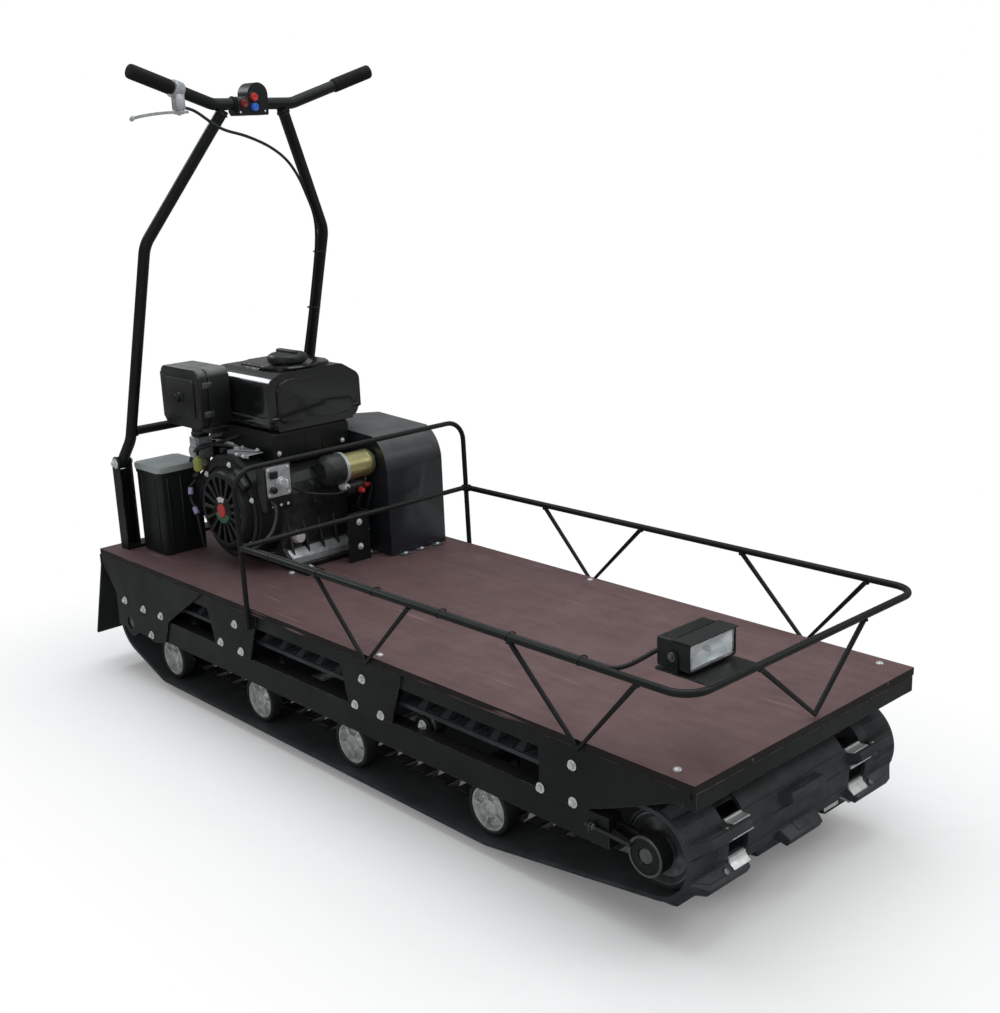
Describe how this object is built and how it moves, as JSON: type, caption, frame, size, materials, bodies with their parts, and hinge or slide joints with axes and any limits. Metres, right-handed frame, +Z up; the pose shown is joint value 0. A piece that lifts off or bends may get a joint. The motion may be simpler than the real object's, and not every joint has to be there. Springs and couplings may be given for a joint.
{
  "type": "tracked snow tow vehicle",
  "caption": "Walk-behind snow tug: a wide rubber track under a railed plywood load deck, driven by a small engine through a belt and chain, with a folding handlebar.",
  "frame": {"origin": "middle of the bounding box on the ground under the track", "axes": "+X forwards, +Y to the left seen from behind, +Z up"},
  "size_m": [1.6584, 0.558, 1.2285],
  "materials": {
    "frame_black": "satin powder coat",
    "plywood": "film faced, matt",
    "track_rubber": "matt",
    "flap_rubber": "matt",
    "wheel_rubber": "matt",
    "wheel_metal": "satin",
    "zinc": "bright zinc plated",
    "steel": "satin",
    "engine_black": "gloss black paint",
    "cast_alloy": "as cast",
    "starter_zinc": "yellow zinc plated",
    "cover_slate": "satin powder coat",
    "black_plastic": "satin",
    "grip_foam": "matt foam",
    "red_plastic": "gloss",
    "blue_plastic": "gloss",
    "clear_glass": "clear",
    "cord_black": "satin"
  },
  "bodies": {
    "chassis": {"air_cleaner": "engine_black", "battery_box": "black_plastic", "carburettor": "cast_alloy", "cargo_hoop": "frame_black", "cargo_rail_front": "frame_black", "cargo_rail_left": "frame_black", "cargo_rail_right": "frame_black", "chain_case": "frame_black", "control_box": "black_plastic", "crankcase": "cast_alloy", "cylinder": "cast_alloy", "deck_board": "plywood", "drive_belt": "track_rubber", "drive_chain": "steel", "engine_base": "frame_black", "fan_shroud": "engine_black", "fuel_tank": "engine_black", "handlebar_uprights": "frame_black", "headlight_lead": "cord_black", "jackshaft_bracket": "frame_black", "main_frame": "frame_black", "mud_flap": "flap_rubber", "muffler": "steel", "rear_plate_left": "frame_black", "rear_plate_right": "frame_black", "starter_motor": "starter_zinc", "throttle_cable_lower": "cord_black", "track": "track_rubber", "undercarriage_frame": "frame_black", "valve_cover": "engine_black", "variator_cover": "cover_slate"},
    "drive_axle": {"drive_shaft": "steel", "track_sprocket_left": "steel", "track_sprocket_right": "steel"},
    "countershaft": {"jackshaft": "steel", "driven_pulley": "steel"},
    "crankshaft": {"crankshaft_pulley": "steel"},
    "wheel_set_1": {"road_wheels_1": "wheel_rubber"},
    "wheel_set_2": {"road_wheels_2": "wheel_rubber"},
    "wheel_set_3": {"road_wheels_3": "wheel_rubber"},
    "wheel_set_4": {"road_wheels_4": "wheel_rubber"},
    "idler": {"idler_wheels": "wheel_rubber"},
    "roller_set": {"return_rollers": "wheel_rubber"},
    "steering_bar": {"handlebar": "frame_black", "grip_left": "grip_foam", "grip_right": "grip_foam", "lever_clamp": "zinc", "switch_pod": "black_plastic", "throttle_cable_upper": "cord_black"},
    "gas_lever": {"throttle_lever": "wheel_metal"},
    "gas_arm": {"throttle_arm": "zinc"},
    "kill_key": {"button_kill": "red_plastic"},
    "red_key": {"button_red": "red_plastic"},
    "blue_key": {"button_blue": "blue_plastic"},
    "start_key": {"ignition_key": "zinc"},
    "headlight": {"headlight_housing": "black_plastic", "headlight_lens": "clear_glass"},
    "tank_cap": {"fuel_cap": "black_plastic"},
    "choke": {"choke_lever": "zinc"},
    "starter_grip": {"recoil_handle": "black_plastic"}
  },
  "joints": [
    {"name": "drive_spin", "type": "hinge", "parent": "chassis", "child": "drive_axle", "pos_m": [-0.66625, -0.00325, 0.1313], "axis": [0, 1, 0], "continuous": true, "deforming": ["track", "drive_chain"]},
    {"name": "countershaft_spin", "type": "hinge", "parent": "chassis", "child": "countershaft", "pos_m": [-0.60125, -0.00325, 0.3934], "axis": [0, 1, 0], "continuous": true},
    {"name": "crankshaft_spin", "type": "hinge", "parent": "chassis", "child": "crankshaft", "pos_m": [-0.43125, -0.00325, 0.3934], "axis": [0, 1, 0], "continuous": true},
    {"name": "wheel_spin_1", "type": "hinge", "parent": "chassis", "child": "wheel_set_1", "pos_m": [-0.56125, -0.00325, 0.072], "axis": [0, 1, 0], "continuous": true},
    {"name": "wheel_spin_2", "type": "hinge", "parent": "chassis", "child": "wheel_set_2", "pos_m": [-0.24325, -0.00325, 0.072], "axis": [0, 1, 0], "continuous": true},
    {"name": "wheel_spin_3", "type": "hinge", "parent": "chassis", "child": "wheel_set_3", "pos_m": [0.04175, -0.00325, 0.072], "axis": [0, 1, 0], "continuous": true},
    {"name": "wheel_spin_4", "type": "hinge", "parent": "chassis", "child": "wheel_set_4", "pos_m": [0.39175, -0.00325, 0.072], "axis": [0, 1, 0], "continuous": true},
    {"name": "idler_spin", "type": "hinge", "parent": "chassis", "child": "idler", "pos_m": [0.73939, -0.00325, 0.1381], "axis": [0, 1, 0], "continuous": true},
    {"name": "roller_spin", "type": "hinge", "parent": "chassis", "child": "roller_set", "pos_m": [0.25375, -0.00325, 0.1738], "axis": [0, 1, 0], "continuous": true},
    {"name": "steering_bar_fold", "type": "hinge", "parent": "chassis", "child": "steering_bar", "pos_m": [-0.72025, -0.00325, 0.458], "axis": [0, 1, 0], "range_deg": [-105, 0], "deforming": ["throttle_cable_upper", "throttle_cable_lower"]},
    {"name": "gas_lever_pull", "type": "hinge", "parent": "steering_bar", "child": "gas_lever", "pos_m": [-0.43613, -0.17129, 1.15392], "axis": [0, 0, 1], "range_deg": [0, 20], "stiffness_Nm_per_rad": 0.4, "springref_deg": -5.73},
    {"name": "gas_arm_turn", "type": "hinge", "parent": "chassis", "child": "gas_arm", "pos_m": [-0.57855, -0.12125, 0.4981], "axis": [1, 0, 0], "range_deg": [-30, 0], "stiffness_Nm_per_rad": 0.05, "springref_deg": 11.46},
    {"name": "button_kill_press", "type": "slide", "parent": "steering_bar", "child": "kill_key", "axis": [-1, 0, 0], "range_m": [0, 0.003], "stiffness_N_per_m": 300, "springref_m": -0.001},
    {"name": "button_red_press", "type": "slide", "parent": "steering_bar", "child": "red_key", "axis": [-1, 0, 0], "range_m": [0, 0.003], "stiffness_N_per_m": 300, "springref_m": -0.001},
    {"name": "button_blue_press", "type": "slide", "parent": "steering_bar", "child": "blue_key", "axis": [-1, 0, 0], "range_m": [0, 0.003], "stiffness_N_per_m": 300, "springref_m": -0.001},
    {"name": "start_key_turn", "type": "hinge", "parent": "chassis", "child": "start_key", "pos_m": [-0.30395, -0.10825, 0.46], "axis": [1, 0, 0], "range_deg": [0, 60]},
    {"name": "headlight_tilt", "type": "hinge", "parent": "chassis", "child": "headlight", "pos_m": [0.76425, -0.18675, 0.4242], "axis": [0, 1, 0], "range_deg": [-7, 7], "deforming": ["headlight_lead"]},
    {"name": "tank_cap_turn", "type": "hinge", "parent": "chassis", "child": "tank_cap", "pos_m": [-0.40425, -0.00325, 0.6667], "axis": [0, 0, 1], "range_deg": [0, 90]},
    {"name": "choke_turn", "type": "hinge", "parent": "chassis", "child": "choke", "pos_m": [-0.56125, -0.13955, 0.4981], "axis": [0, 1, 0], "range_deg": [0, 30]},
    {"name": "starter_grip_pull", "type": "slide", "parent": "chassis", "child": "starter_grip", "axis": [0, -1, 0], "range_m": [0, 0.35], "stiffness_N_per_m": 20, "springref_m": -0.2}
  ],
  "couplings": [
    {"joint": "countershaft_spin", "follows": "drive_spin", "ratio": 2.125},
    {"joint": "wheel_spin_1", "follows": "drive_spin", "ratio": 1.5951},
    {"joint": "wheel_spin_2", "follows": "drive_spin", "ratio": 1.5951},
    {"joint": "wheel_spin_3", "follows": "drive_spin", "ratio": 1.5951},
    {"joint": "wheel_spin_4", "follows": "drive_spin", "ratio": 1.5951},
    {"joint": "idler_spin", "follows": "drive_spin", "ratio": 1.1055},
    {"joint": "roller_spin", "follows": "drive_spin", "ratio": 2.8521},
    {"joint": "gas_arm_turn", "follows": "gas_lever_pull", "ratio": -1.5}
  ]
}
